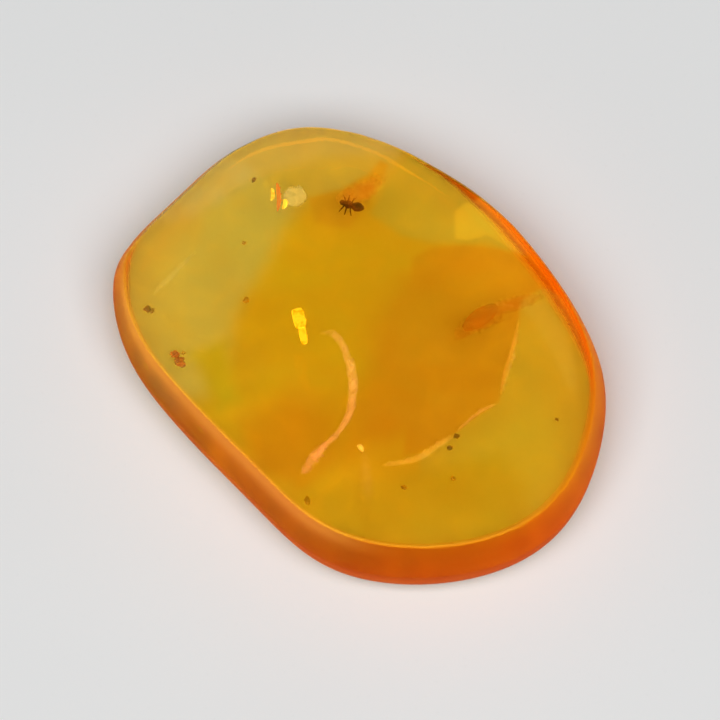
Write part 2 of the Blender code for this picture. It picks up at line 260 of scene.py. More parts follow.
# Thin blades in the resin: finish, depth under the face, how the ends taper, how much the edges waver, the
# path as it shows on the face, and the half width as a vector, the same all along or at even stations.
BLADES = {
    "crack_a": ("crack_peach", 0.8, 0.16, 0.12, [
        (-1.64, -0.27), (-0.98, -0.42), (-0.48, -1.33), (-0.23, -2.43), (-0.26, -3.51), (-0.55, -4.42),
        (-1.04, -5.14), (-1.53, -5.58), (-1.94, -6.21), (-2.26, -6.78),
    ], [(0.08, 0.12, 0.3), (0.24, 0.08, 0.3), (0.25, -0.05, 0.3), (0.40, -0.26, 0.3)]),
    "crack_a_foot": ("crack_rose", 0.8, 0.3, 0.3, [
        (-1.15, -5.15), (-1.60, -5.75), (-1.95, -6.20), (-2.35, -6.85),
    ], [(0.10, -0.06, 0.2), (0.24, -0.15, 0.2), (0.22, -0.12, 0.2)]),
    "crack_b": ("crack_straw", 0.6, 0.3, 0.4, [
        (0.92, -6.40), (1.9, -6.21), (2.72, -5.94), (3.38, -5.41), (4.0, -5.08),
    ], [(0.02, 0.10, 0.3), (0.03, 0.14, 0.3), (0.08, 0.26, 0.3)]),
    "crack_b_end": ("veil_haze", 0.7, 0.5, 0.4, [
        (4.0, -5.0), (4.53, -4.42), (5.19, -3.88), (5.9, -3.5),
    ], [(0.02, 0.10, 0.2), (0.02, 0.08, 0.2)]),
    "crack_c": ("crack_straw", 0.6, 0.3, 0.3, [
        (6.78, 0.45), (6.62, -0.6), (6.4, -1.52), (6.16, -2.43), (6.02, -3.2),
    ], [(0.10, 0, 0.4), (0.20, 0, 0.4), (0.20, 0, 0.4)]),
    "haze_line": ("veil_faint", 1.0, 0.3, 0.2, [
        (-6.8, 3.8), (-7.9, 2.6), (-8.7, 1.7),
    ], [(0.10, -0.1, 0.0), (0.14, -0.14, 0.0)]),
    "smear": ("veil_mist", 0.6, 0.3, 0.2, [
        (0.10, -5.45), (0.30, -6.3), (0.36, -7.2), (0.42, -8.2),
    ], [(0.25, 0, 0.3), (0.35, 0, 0.3), (0.45, 0, 0.2)]),
    # A painted glint: a small blade in a brightly glowing finish
    "glint": ("painted_glint", 0.55, 0.2, 0.5, [
        (-0.04, -5.44), (0.12, -5.60), (0.24, -5.76),
    ], (0.07, 0.09, 0.05)),
    "spangle_top": ("spangle", 0.9, 0.15, 0.1, [
        (-2.62, 0.82), (-2.50, 0.36), (-2.40, -0.08),
    ], (0.26, 0.07, 0.02)),
    "spangle_foot": ("spangle", 0.95, 0.2, 0.15, [
        (-2.42, 0.1), (-2.34, -0.36), (-2.24, -0.85),
    ], (0.16, 0.04, 0.02)),
    "bubble_veil": ("veil_milky", 0.7, 0.5, 0.1, [
        (-3.22, 6.25), (-2.68, 6.23), (-2.14, 6.21),
    ], (0, 0.54, 0.05)),
    "ember_streak": ("crack_ember", 0.55, 0.3, 0.3, [
        (-3.46, 7.0), (-3.36, 6.2), (-3.40, 5.5),
    ], (0.10, 0, 0.1)),
    # Bright bits at the bubble's edge, in the spangle's finish with its painted glint
    "bubble_spark": ("spangle", 0.72, 0.3, 0.3, [
        (-3.66, 6.05), (-3.62, 6.35), (-3.66, 6.7),
    ], (0.08, 0, 0.03)),
    "bubble_chip": ("spangle", 0.72, 0.3, 0.3, [
        (-3.16, 5.6), (-3.08, 5.85), (-3.10, 6.1),
    ], (0.10, 0, 0.03)),
    "insect_veil": ("veil_ember", 1.3, 0.25, 0.06, [
        (-0.95, 6.0), (0.1, 6.35), (1.15, 6.85),
    ], [(0.05, 0.3, 0.1), (0.1, 0.65, 0.1), (0.25, 0.6, 0.1)]),
    "fragment_tail": ("veil_rusty", 1.4, 0.4, 0.08, [
        (5.3, 0.75), (6.7, 1.1), (7.9, 1.5),
    ], [(0, 0.42, 0.1), (0, 0.3, 0.1)]),
    "fragment_shadow": ("veil_rusty", 1.9, 0.4, 0.1, [
        (4.0, -0.5), (5.2, 0.35), (6.3, 0.75),
    ], [(-0.2, 0.5, 0.1), (-0.2, 0.55, 0.1)]),
}
# Finishes of the solid bits: dark and light colours, the painted light that stands in for the light that
# shows through, and how dense they are.
BITS = {
    "bit_dark": ((0.07, 0.022, 0.003), (0.20, 0.07, 0.008), (0.20, 0.075, 0.0), 0.9),
    "bit_rust": ((0.25, 0.05, 0.003), (0.5, 0.12, 0.005), (0.30, 0.07, 0.0), 0.8),
    "bit_faint": ((0.20, 0.09, 0.01), (0.35, 0.17, 0.02), (0.34, 0.15, 0.0), 1.0),
    "insect_chitin": ((0.02, 0.007, 0.002), (0.12, 0.035, 0.005), (0.06, 0.018, 0.0), 1.0),
    "bark": ((0.35, 0.10, 0.004), (0.55, 0.20, 0.01), (0.24, 0.095, 0.0), 0.42),
}
BIT_DIM, BIT_THIN = 0.6, 0.7  # painted light and density that are left between a bit's mottles
# Small bits: x and y where they show on the face, depth under it, size and finish.
SPECKS = [
    (-4.45, 7.17, 0.5, 0.09, "bit_dark"),
    (-8.94, 1.05, 0.3, 0.15, "bit_dark"),
    (-8.70, 0.95, 0.3, 0.09, "bit_faint"),
    (-7.70, -1.20, 0.3, 0.16, "bit_rust"),
    (-7.50, -1.55, 0.35, 0.20, "bit_rust"),
    (-7.35, -1.15, 0.3, 0.08, "bit_faint"),
    (4.12, -5.05, 0.4, 0.11, "bit_dark"),
    (3.83, -5.58, 0.4, 0.10, "bit_dark"),
    (8.31, -4.15, 0.4, 0.07, "bit_dark"),
    (-4.72, 1.23, 0.9, 0.12, "bit_faint"),
    (-4.83, 4.02, 0.8, 0.08, "bit_faint"),
    (-2.09, -7.99, 0.5, 0.13, "bit_faint"),
    (1.90, -7.37, 0.7, 0.11, "bit_faint"),
    (3.94, -6.93, 0.7, 0.10, "bit_faint"),
]
# A bit's rows and sides, how high and how fine its random bumps are, and how it is stretched.
CRUMB_ROWS, CRUMB_SIDES = 12, 18
CRUMB_BUMP, CRUMB_BUMPINESS = 0.16, 3.2
CRUMB_STRETCH = (1.25, 0.9, 0.6)
# The face's painted light is cut over a sealed bit, which would look grey behind it: the share that is
# lost, and its reach, for a speck in its own sizes, and for the insect in x and y from where it shows.
PAINTED_GLOW_LOST = 0.8
SPECK_SHADE = 1.3
INSECT_SHOWS, INSECT_SHADE = (-0.55, 5.62), (0.60, 0.32)

# ---- Camera, floor and light ----------------------------------------------------------------------------

CAMERA_AIM = (0.08 * MM, -0.35 * MM, 2.0 * MM)
CAMERA_DISTANCE = 0.224
CAMERA_ELEVATION = 64.7
CAMERA_LENS = 263.0
FLOOR_SIZE = 3.0
FLOOR_GAP = 0.05 * MM
FLOOR_TONES = (0.85, 0.86, 0.86), (0.87, 0.88, 0.88)
# The sky's strength at the horizon and at the zenith, and the sines of the elevations between which it fades.
SKY_LEVELS, SKY_FADE = (0.99, 0.10), (0.68, 0.90)
GLOSS_KEPT = 0.2  # share of the sky's and the floor's mirror images that is kept, by ray type
# The panel: the way it stands, its elevation, distance, width, height and power in watts.
FRONT_PANEL = (-90, 64, 0.9, 1.1, 0.62, 7.9)
LIGHT_BOUNCES = 20


def catmull_rom(a, b, c, d, t):
    """Points of the Catmull-Rom curve through b and c, at the shares t between them, with a and d beyond."""
    return 0.5 * (2 * b + (c - a) * t + (2 * a - 5 * b + 4 * c - d) * t**2 + (3 * b - a - 3 * c + d) * t**3)


def closed_curve(points, count):
    """count points evenly along the closed Catmull-Rom curve through the points, less its finest waves.

    The curve x(t) + i y(t) is written as a sum of turning waves, and only the OUTLINE_HARMONICS slowest stay.
    """
    p = np.array(points, float)
    place = np.arange(8 * count) * len(p) / (8 * count)
    k, t = place.astype(int), (place % 1.0)[:, None]
    curve = catmull_rom(*(p[(k + j - 1) % len(p)] for j in range(4)), t)
    lap = np.vstack([curve, curve[:1]])
    run = np.concatenate([[0], np.cumsum(np.hypot(*np.diff(lap, axis=0).T))])
    even = np.linspace(0, run[-1], count, endpoint=False)
    z = np.interp(even, run, lap[:, 0]) + 1j * np.interp(even, run, lap[:, 1])
    waves = np.fft.fft(z)
    waves[np.abs(np.fft.fftfreq(count, 1 / count)) > OUTLINE_HARMONICS] = 0
    z = np.fft.ifft(waves)
    return np.stack([z.real, z.imag], axis=1)


def body_outline():
    """The outline fitted to the CAD box's length and centred along it, with its outward directions."""
    curve = closed_curve(OUTLINE, AROUND)
    low, high = curve.min(0), curve.max(0)
    length = (cad_box[1][0] - cad_box[0][0]) / MM
    curve = (curve - ((low[0] + high[0]) / 2, 0.0)) * length / (high[0] - low[0])
    along = np.roll(curve, -1, axis=0) - np.roll(curve, 1, axis=0)
    outward = np.stack([along[:, 1], -along[:, 0]], axis=1)
    return curve, outward / np.linalg.norm(outward, axis=1, keepdims=True)


def by_facing(facing, table):
    """The columns of a table that starts with degrees, each read between its rows at every way of facing."""
    sides, *columns = (np.array(column, float) for column in zip(*table))
    return [np.interp(facing, sides, column, period=360) for column in columns]


def facing_of(n):
    """The way that each outward direction points, in degrees."""
    return np.degrees(np.arctan2(n[:, 1], n[:, 0]))


def face_height(x, y):
    """Height of the upper face: the lowest of the flats' planes, rounded over FLAT_BLEND where they meet."""
    px, py, height, way, fall = (np.array(column)[:, None] for column in zip(*FLATS))
    run = (x.ravel() - px) * np.cos(np.radians(way)) + (y.ravel() - py) * np.sin(np.radians(way))
    planes = height - np.tan(np.radians(fall)) * run
    lowest = planes.min(0)
    soft = lowest - FLAT_BLEND * np.log(np.exp((lowest - planes) / FLAT_BLEND).sum(0))
    return soft.reshape(x.shape)


def polish_waves(x, y):
    """The slow unevenness of a hand-polished face: a sum of plane sine waves of random ways and phases."""
    chance = np.random.default_rng(WAVE_SEED)
    height = np.zeros_like(x)
    for _ in range(WAVES):
        way, phase = chance.uniform(0, math.tau, 2)
        length = chance.uniform(*WAVE_LENGTHS)
        height += np.sin(math.tau * (x * math.cos(way) + y * math.sin(way)) / length + phase) * length
    return height * WAVE_HEIGHT / WAVES


def rounded(share, roundness):
    """Rise of a rounded edge from 0 at the outline to 1 where it meets the face: (1 - (1 - s)^k)^(1/k)."""
    return (1 - (1 - share) ** roundness) ** (1 / roundness)


def body_rings():
    """Rings of points, shape (rings, AROUND, 3), from the underside's middle out and up to the face's middle.

    In plan a point at share s of an edge stands at p - n w s, where p runs round the outline, n is its
    outward way and w the edge's width. Inside the edges, the rings shrink towards the middle in even steps.
    """
    p, n = body_outline()
    width, full, girth = by_facing(facing_of(n), EDGE)
    width = width[:, None]
    rings = []
    for shrink in np.linspace(0, 1, UNDERSIDE_RINGS + 1)[1:-1]:
        rings.append(np.column_stack([(p - n * HEEL) * shrink, np.zeros(AROUND)]))
    for share in np.linspace(1, 0, HEEL_RINGS, endpoint=False) ** RING_CROWDING:
        rings.append(np.column_stack([p - n * HEEL * share, girth * (1 - rounded(share, LOWER_ROUNDNESS))]))
    for share in np.linspace(0, 1, SHOULDER_RINGS) ** RING_CROWDING:
        q = p - n * width * share
        top = face_height(*q.T) + polish_waves(*q.T)
        rings.append(np.column_stack([q, girth + (top - girth) * rounded(share, full)]))
    for shrink in np.linspace(1, 0, FACE_RINGS + 1)[1:-1]:
        q = (p - n * width) * shrink
        rings.append(np.column_stack([q, face_height(*q.T) + polish_waves(*q.T)]))
    return np.array(rings)


def chipped(points):
    """The points with the CHIPS hollowed out: each sinks by depth (1 - (d/r)^2)^2 towards the middle."""
    middle = np.array([0.0, 0.0, PARTING_HEIGHT])
    for x, y, z, radius, depth in CHIPS:
        near = np.clip(1 - ((points - (x, y, z)) ** 2).sum(-1) / radius**2, 0, None) ** 2
        inward = middle - (x, y, z)
        points = points + near[..., None] * depth * inward / np.linalg.norm(inward)
    return points


def skin(name, rings, first, last):
    """A closed smooth mesh from rings of points in millimetres, each end closed by a fan to its own tip."""
    count, around = rings.shape[:2]
    points = np.vstack([rings.reshape(-1, 3), first, last]) * MM
    i, j = np.meshgrid(np.arange(count - 1), np.arange(around), indexing="ij")
    k = (j + 1) % around
    quads = np.stack([i * around + j, i * around + k, (i + 1) * around + k, (i + 1) * around + j], axis=-1)
    here = np.arange(around)
    there = (here + 1) % around
    tips = count * around
    start = np.stack([here * 0 + tips, there, here], axis=1)
    end = np.stack([here + tips - around, there + tips - around, here * 0 + tips + 1], axis=1)
    mesh = bpy.data.meshes.new(name)
    mesh.from_pydata(points.tolist(), [], quads.reshape(-1, 4).tolist() + start.tolist() + end.tolist())
    mesh.shade_smooth()
    made = bpy.data.objects.new(name, mesh)
    bpy.context.scene.collection.objects.link(made)
    return made


def eased(t):
    """0 up to t = 0, 1 from t = 1 on, and 3 t^2 - 2 t^3 between."""
    t = np.clip(t, 0, 1)
    return t * t * (3 - 2 * t)


def within(points, corners, soft):
    """1 inside the polygon and 0 outside it, eased over a strip of width soft along its edge.

    What is eased is the signed distance to the nearest side, positive inside by the even-odd rule.
    """
    a = np.array(corners, float)
    b = np.roll(a, -1, axis=0)
    step = b - a
    away = points[:, None, :] - a[None]
    share = np.clip((away * step).sum(-1) / (step**2).sum(-1), 0, 1)
    gap = away - share[..., None] * step
    distance = np.hypot(gap[..., 0], gap[..., 1]).min(1)
    x, y = points[:, :1], points[:, 1:]
    spans = (a[:, 1] > y) != (b[:, 1] > y)
    rise = np.where(step[:, 1] == 0, 1e-9, step[:, 1])
    crossings = (spans & (x < a[:, 0] + (y - a[:, 1]) / rise * step[:, 0])).sum(1)
    return eased(np.where(crossings % 2 == 1, distance, -distance) / soft + 0.5)


def paint(piece, name, values):
    """Stores a number or a colour for each point of a piece, for its material to read."""
    values = np.asarray(values, np.float32)
    if values.ndim == 1:
        piece.data.attributes.new(name, "FLOAT", "POINT").data.foreach_set("value", values)
    else:
        full = np.column_stack([values, np.ones(len(values), np.float32)])
        piece.data.attributes.new(name, "FLOAT_COLOR", "POINT").data.foreach_set("color", full.ravel())


def with_tips(values):
    """The values of the rings' points in their order, and 0 for the two tips."""
    return np.append(values.ravel(), (0, 0))


def wave(run, length, height, phase=0.0):
    """A sine wave along a distance."""
    return height * np.sin(math.tau * run / length + phase)


def paint_edges(body, rings):
    """Stores and returns the edges' painted light, and stores painted darker patches and a highlight line.

    The painted light stands in for light that runs round inside the resin. Its strength is the one for the
    way an edge faces, eased off inwards from the outline and downwards to its foot. The painted patches stand
    in for darker internal reflections and come from slow waves of the distance run round the outline, in a
    belt round EMBER_LEVEL. The painted highlight line is a narrow bell curve across the bevel's inner end.
    """
    p, n = body_outline()
    facing = facing_of(n)
    height = rings[:, :, 2]
    inside = np.linalg.norm(rings[:, :, :2] - p, axis=2)
    reach, fade, strength, foot = by_facing(facing, RIM_PAINTED_GLOW)
    above = np.clip((height - PARTING_HEIGHT * foot) / RIM_FOOT_FADE, 0, 1)
    rim = with_tips(strength * above * eased((reach - inside) / fade))
    paint(body, "rim", rim)

    off_front_left = (facing - FRONT_LEFT_WAY + 180) % 360 - 180
    front_left = np.exp(-((off_front_left / FRONT_LEFT_REACH) ** 4))
    run = np.cumsum(np.linalg.norm(p - np.roll(p, 1, axis=0), axis=1))
    drift = wave(run, *EMBER_DRIFT)
    waves = wave(run, *EMBER_MAIN, drift) + wave(run, *EMBER_FINE)
    patches = np.clip(EMBER_MEAN + waves, 0, 1) * (EMBER_STRENGTH + EMBER_FRONT_EXTRA * front_left)
    paint(body, "painted_rim_shade", with_tips(patches * np.exp(-(((height - EMBER_LEVEL) / EMBER_SPREAD) ** 2))))

    width = by_facing(facing, EDGE)[0]
    across = (inside - width + LINE_OFFSET) / LINE_WIDTH
    paint(body, "painted_edge_highlight", with_tips(front_left * np.exp(-(across**2)) * (height > PARTING_HEIGHT)))
    return rim


def paint_zones(body, points, rim):
    """Stores the face's tinting and painted light, each zone laid over those before it within its corners."""
    plan = points[:, :2]
    tint_and_painted_shade = np.tile(np.array(PLAIN_TINT), (len(points), 1))
    painted_glow = np.tile(np.array(PLAIN_PAINTED_GLOW), (len(points), 1))
    for soft, zone_tint, zone_painted_glow, corners in ZONES.values():
        share = within(plan, corners, soft)[:, None]
        tint_and_painted_shade += share * (np.array(zone_tint) - tint_and_painted_shade)
        painted_glow += share * (np.array(zone_painted_glow) - painted_glow)
    # Painted light is cut away over each sealed bit
    shades = [((x, y), SPECK_SHADE * size) for x, y, _, size, _ in SPECKS] + [(INSECT_SHOWS, INSECT_SHADE)]
    for where, spread_by in shades:
        near = np.exp(-(((plan - where) / spread_by) ** 2).sum(axis=1))
        painted_glow *= 1 - PAINTED_GLOW_LOST * near[:, None]
    upper = np.clip((points[:, 2] - PARTING_HEIGHT) / ZONE_FADE, 0, 1)[:, None]
    # The tinting, darkened on the edges as painted shade
    paint(body, "tint_and_painted_shade", (1 + upper * (tint_and_painted_shade - 1)) * (1 - rim[:, None] * RIM_PAINTED_SHADE))
    paint(body, "painted_glow", upper * painted_glow)


def make_body():
    """The whole clear piece, with the painted light of its edges and the zones of its resin stored on it."""
    rings = chipped(body_rings())
    underside = (0.0, 0.0, 0.0)
    middle = (0.0, 0.0, rings[-1, :, 2].mean())
    body = skin("amber_body", rings, underside, middle)
    rim = paint_edges(body, rings)
    paint_zones(body, np.vstack([rings.reshape(-1, 3), underside, middle]), rim)
    return body


def smooth_path(points, count):
    """count points along the open Catmull-Rom curve through the points, with its ends run on straight."""
    p = np.array(points, float)
    p = np.vstack([2 * p[0] - p[1], p, 2 * p[-1] - p[-2]])
    place = np.linspace(0, len(p) - 3 - 1e-9, count)
    k, t = place.astype(int), (place % 1.0)[:, None]
    return catmull_rom(*(p[k + j] for j in range(4)), t)


def blade(name, path, half_width, taper, wander):
    """A thin closed blade along a path: an oval of half axes h and T/2 carried along it, its ends tapered.

    With u from -1 to 1 along the path and w round the oval, the point is m(u) + f(u) cos(w) h(u) +
    f(u) sin(w) T/2 n(u), where h is the half width as a vector, T is VEIL_THICKNESS, n is square to h and to
    the path, and f(u) = (1 - u^2)^taper. Each edge of the blade wavers by its own sum of sine waves, wander
    times h. Its core, (1 - u^2)^0.7 sin(w)^2, is stored for the finish to fade by.
    """
    chance = np.random.default_rng(len(name) + len(path))
    m = smooth_path(path, BLADE_STATIONS + 2)[1:-1]
    if half_width.ndim == 2:
        h = smooth_path(half_width, BLADE_STATIONS + 2)[1:-1]
    else:
        h = np.tile(half_width, (BLADE_STATIONS, 1))
    along = np.gradient(m, axis=0)
    n = np.cross(along, h)
    n /= np.linalg.norm(n, axis=1, keepdims=True)
    u = np.linspace(-1, 1, BLADE_STATIONS + 2)[1:-1, None, None]
    f = (1 - u * u) ** taper
    w = np.linspace(0, math.tau, BLADE_SIDES, endpoint=False)[None, :, None]
    waves = [sum(np.sin(u * k + chance.uniform(0, math.tau)) for k in BLADE_WAVES) / 3 for _ in range(2)]
    reach = np.cos(w) * (1 + wander * np.where(np.cos(w) > 0, *waves)) + wander * waves[1]
    rings = m[:, None] + f * (reach * h[:, None] + np.sin(w) * VEIL_THICKNESS / 2 * n[:, None])
    ends = smooth_path(path, 2)
    made = skin(name, rings, ends[0], ends[1])
    paint(made, "core", with_tips((1 - u * u) ** 0.7 * np.sin(w) ** 2))
    return made


def at_depth(path, depth):
    """The path sunk to a depth under the face, and moved back so that it still shows there from the front."""
    p = np.array(path, float)
    z = face_height(p[:, 0], p[:, 1]) - depth
    return np.column_stack([p[:, 0], p[:, 1] + SIGHT_SLOPE * depth, z])


def crumb(name, x, y, z, size, seed):
    """A small irregular bit: a stretched, turned ball of about that radius, its surface pushed in and out.

    The radius is size times 1 plus the sum of CRUMB_BUMP sin(k . q + phase) over three random waves k, for q
    on the ball.
    """
    chance = np.random.default_rng(seed)
    up = np.linspace(-math.pi / 2, math.pi / 2, CRUMB_ROWS)[1:-1][:, None]
    around = np.linspace(0, math.tau, CRUMB_SIDES, endpoint=False)[None, :]
    level = np.cos(up)
    ball = np.stack([level * np.cos(around), level * np.sin(around), np.sin(up) + 0 * around], axis=-1)
    bumps = 0.0
    for _ in range(3):
        k, phase = chance.normal(0, CRUMB_BUMPINESS, 3), chance.uniform(0, math.tau)
        bumps = bumps + CRUMB_BUMP * np.sin(ball @ k + phase)
    stretch = np.array(CRUMB_STRETCH) * chance.uniform(0.8, 1.2, 3)
    shape = ball * (1 + bumps)[..., None] * stretch * size
    turn = chance.uniform(0, math.tau)
    spin = np.array([[math.cos(turn), -math.sin(turn), 0], [math.sin(turn), math.cos(turn), 0], [0, 0, 1]])
    rings = shape @ spin.T + (x, y, z)
    return skin(name, rings, rings[0].mean(0), rings[-1].mean(0))


def new_material(name, glowing=0.0):
    """A new material with its node tree and its Principled shader, whose painted light has this strength."""
    material = bpy.data.materials.new(name)
    material.use_nodes = True
    material.cycles.emission_sampling = "NONE"
    tree = material.node_tree
    shader = tree.nodes["Principled BSDF"]
    shader.inputs["Emission Strength"].default_value = glowing
    return material, tree, shader


def feed(tree, socket, value):
    """Puts an output, a number or a colour into an input."""
    if isinstance(value, bpy.types.NodeSocket):
        tree.links.new(value, socket)
    elif socket.type == "RGBA" and len(value) == 3:
        socket.default_value = (*value, 1.0)
    else:
        socket.default_value = value


def node(tree, kind, **settings):
    """A new node: each setting is a property, or an input by name; an output given as a value is linked."""
    made = tree.nodes.new(kind)
    for key, value in settings.items():
        socket = made.inputs.get(key.replace("_", " "))
        if socket is None:
            setattr(made, key, value)
        else:
            feed(tree, socket, value)
    return made


def mix_colour(tree, share, low, high, how="MIX"):
    """A colour mix: each argument is an output, or a plain number or colour."""
    mix = node(tree, "ShaderNodeMix", data_type="RGBA", blend_type=how)
    for place, value in ((0, share), (6, low), (7, high)):
        feed(tree, mix.inputs[place], value)
    return mix.outputs[2]


def arithmetic(tree, operation, first, second=0.0):
    """A maths node on two outputs or numbers."""
    made = node(tree, "ShaderNodeMath", operation=operation)
    feed(tree, made.inputs[0], first)
    feed(tree, made.inputs[1], second)
    return made.outputs[0]


def spread(tree, value, low, high, to_low=0.0, to_high=1.0):
    """The value from low to high, eased to run from to_low to to_high."""
    limits = {"From_Min": low, "From_Max": high, "To_Min": to_low, "To_Max": to_high}
    ramp = node(tree, "ShaderNodeMapRange", interpolation_type="SMOOTHSTEP", Value=value, **limits)
    return ramp.outputs["Result"]


def attribute(tree, name, output="Fac"):
    """What paint() stored under the name."""
    return node(tree, "ShaderNodeAttribute", attribute_name=name).outputs[output]


def new_group(name, inputs, output):
    """A new group from its inputs' defaults, None being a vector: the group, its inputs and its output."""
    group = bpy.data.node_groups.new(name, "ShaderNodeTree")
    for label, value in inputs.items():
        kind = "NodeSocketVector" if value is None else "NodeSocketFloat"
        socket = group.interface.new_socket(label, in_out="INPUT", socket_type=kind)
        if value is not None:
            socket.default_value = value
    group.interface.new_socket(output, in_out="OUTPUT", socket_type="NodeSocketFloat")
    return group, group.nodes.new("NodeGroupInput").outputs, group.nodes.new("NodeGroupOutput").inputs[output]


def clouds_group():
    """Drifting clouds: warped noise, as a mask from 0 to 1 between its two thresholds."""
    inputs = {"Vector": None, "Scale": 200.0, "Warp": 0.6, "Low": 0.4, "High": 0.6}
    group, given, mask = new_group("drifting_clouds", inputs, "Mask")
    noise = node(group, "ShaderNodeTexNoise", Vector=given["Vector"], Scale=given["Scale"],
                 Distortion=given["Warp"], Detail=2.0, Roughness=0.55)
    feed(group, mask, spread(group, noise.outputs[0], given["Low"], given["High"]))
    return group


def scratches_group():
    """Fine polishing scratches: thin level lines of two stretched noises that run across each other."""
    inputs = {"Vector": None, "Scale": 300.0, "Fineness": 0.008, "Amount": 0.5}
    group, given, mask = new_group("polish_scratches", inputs, "Mask")
    lines = []
    for turn, stretch in SCRATCHES:
        turned = {"Rotation": (0, 0, turn), "Scale": stretch}
        mapped = node(group, "ShaderNodeMapping", Vector=given["Vector"], **turned)
        noise = node(group, "ShaderNodeTexNoise", Vector=mapped.outputs[0], Scale=given["Scale"], Detail=1.0)
        off = arithmetic(group, "ABSOLUTE", arithmetic(group, "SUBTRACT", noise.outputs[0], 0.5))
        lines.append(spread(group, off, 0.0, given["Fineness"], 1.0, 0.0))
    feed(group, mask, arithmetic(group, "MULTIPLY", arithmetic(group, "MAXIMUM", *lines), given["Amount"]))
    return group


def specks_group():
    """Scattered round specks: cells whose middles lie nearer than Size, kept where a cell's chance allows."""
    inputs = {"Vector": None, "Scale": 900.0, "Size": 0.16, "Share": 0.4}
    group, given, mask = new_group("scattered_specks", inputs, "Mask")
    cells = node(group, "ShaderNodeTexVoronoi", Vector=given["Vector"], Scale=given["Scale"])
    chance = node(group, "ShaderNodeSeparateColor", Color=cells.outputs["Color"]).outputs[0]
    kept = arithmetic(group, "LESS_THAN", chance, given["Share"])
    core = arithmetic(group, "MULTIPLY", given["Size"], 0.6)
    dot = spread(group, cells.outputs["Distance"], core, given["Size"], 1.0, 0.0)
    feed(group, mask, arithmetic(group, "MULTIPLY", dot, kept))
    return group


def mirror_image_share(tree):
    """The share of light kept: GLOSS_KEPT where a mirror image is seen, and all of it elsewhere."""
    path = node(tree, "ShaderNodeLightPath").outputs
    scattered = arithmetic(tree, "SUBTRACT", 1.0, path["Is Diffuse Ray"])
    image = arithmetic(tree, "MULTIPLY", path["Is Reflection Ray"], scattered)
    return arithmetic(tree, "SUBTRACT", 1.0, arithmetic(tree, "MULTIPLY", image, 1 - GLOSS_KEPT))


def place_group(tree, group, **settings):
    """The group in a material, at its own values, read at the object's own coordinates."""
    made = node(tree, "ShaderNodeGroup", node_tree=group)
    feed(tree, made.inputs["Vector"], node(tree, "ShaderNodeTexCoord").outputs["Object"])
    for key, value in settings.items():
        made.inputs[key].default_value = value
    return made.outputs["Mask"]


def bump(tree, shader, height, strength, distance):
    """Lets a mask raise the surface's look by a strength and a distance in metres."""
    raised = node(tree, "ShaderNodeBump", Height=height, Strength=strength, Distance=distance)
    feed(tree, shader.inputs["Normal"], raised.outputs[0])


def amber_material(clouds, scratches):
    """The clear resin: absorbing, tinted by zones and clouds, with faint painted light for its haze and
    edges.
    """
    material, tree, shader = new_material("amber_clear", 1.0)
    shader.inputs["Transmission Weight"].default_value = 1.0
    shader.inputs["IOR"].default_value = RESIN_IOR
    shader.inputs["Specular Tint"].default_value = GLOSS_COLOUR
    absorb = node(tree, "ShaderNodeVolumeAbsorption", Color=RESIN_COLOUR, Density=RESIN_DENSITY)
    feed(tree, tree.nodes["Material Output"].inputs["Volume"], absorb.outputs[0])

    broad = place_group(tree, clouds, Scale=170.0, Warp=0.8, Low=0.36, High=0.64)
    small = place_group(tree, clouds, Scale=520.0, Warp=1.4, Low=0.42, High=0.70)
    # The tinting, with the edges' painted shade in it
    tint_and_painted_shade = mix_colour(tree, broad, attribute(tree, "tint_and_painted_shade", "Color"), CLOUD_TINT, "MULTIPLY")
    feed(tree, shader.inputs["Base Color"], tint_and_painted_shade)

    # Painted light: this emission stands in for the light that passes through the resin and runs round in it
    painted_glow = attribute(tree, "painted_glow", "Color")
    painted_glow = mix_colour(tree, broad, painted_glow, mix_colour(tree, 1.0, painted_glow, CLOUD_PAINTED_GLOW, "MULTIPLY"))
    painted_glow = mix_colour(tree, spread(tree, small, 0.0, 1.0, *WISP_SHARES), painted_glow, WISP_PAINTED_GLOW)
    # Painted light of the edges, with painted darker patches in it
    rim = mix_colour(tree, attribute(tree, "painted_rim_shade"), RIM_PAINTED_LIGHT, EMBER_PAINTED_SHADE)
    painted_glow = mix_colour(tree, attribute(tree, "rim"), painted_glow, rim)
    painted_glow = mix_colour(tree, attribute(tree, "painted_edge_highlight"), painted_glow, LINE_PAINTED_HIGHLIGHT)
    feed(tree, shader.inputs["Emission Color"], painted_glow)

    marks = place_group(tree, scratches, Scale=260.0, Fineness=0.006, Amount=0.7)
    edges = spread(tree, attribute(tree, "rim"), 0.0, RIM_ROUGH_FROM, FACE_ROUGHNESS, RIM_ROUGHNESS)
    roughness = arithmetic(tree, "ADD", edges, arithmetic(tree, "MULTIPLY", marks, SCRATCH_RISE))
    feed(tree, shader.inputs["Roughness"], roughness)
    bump(tree, shader, marks, 0.25, 0.00001)
    return material


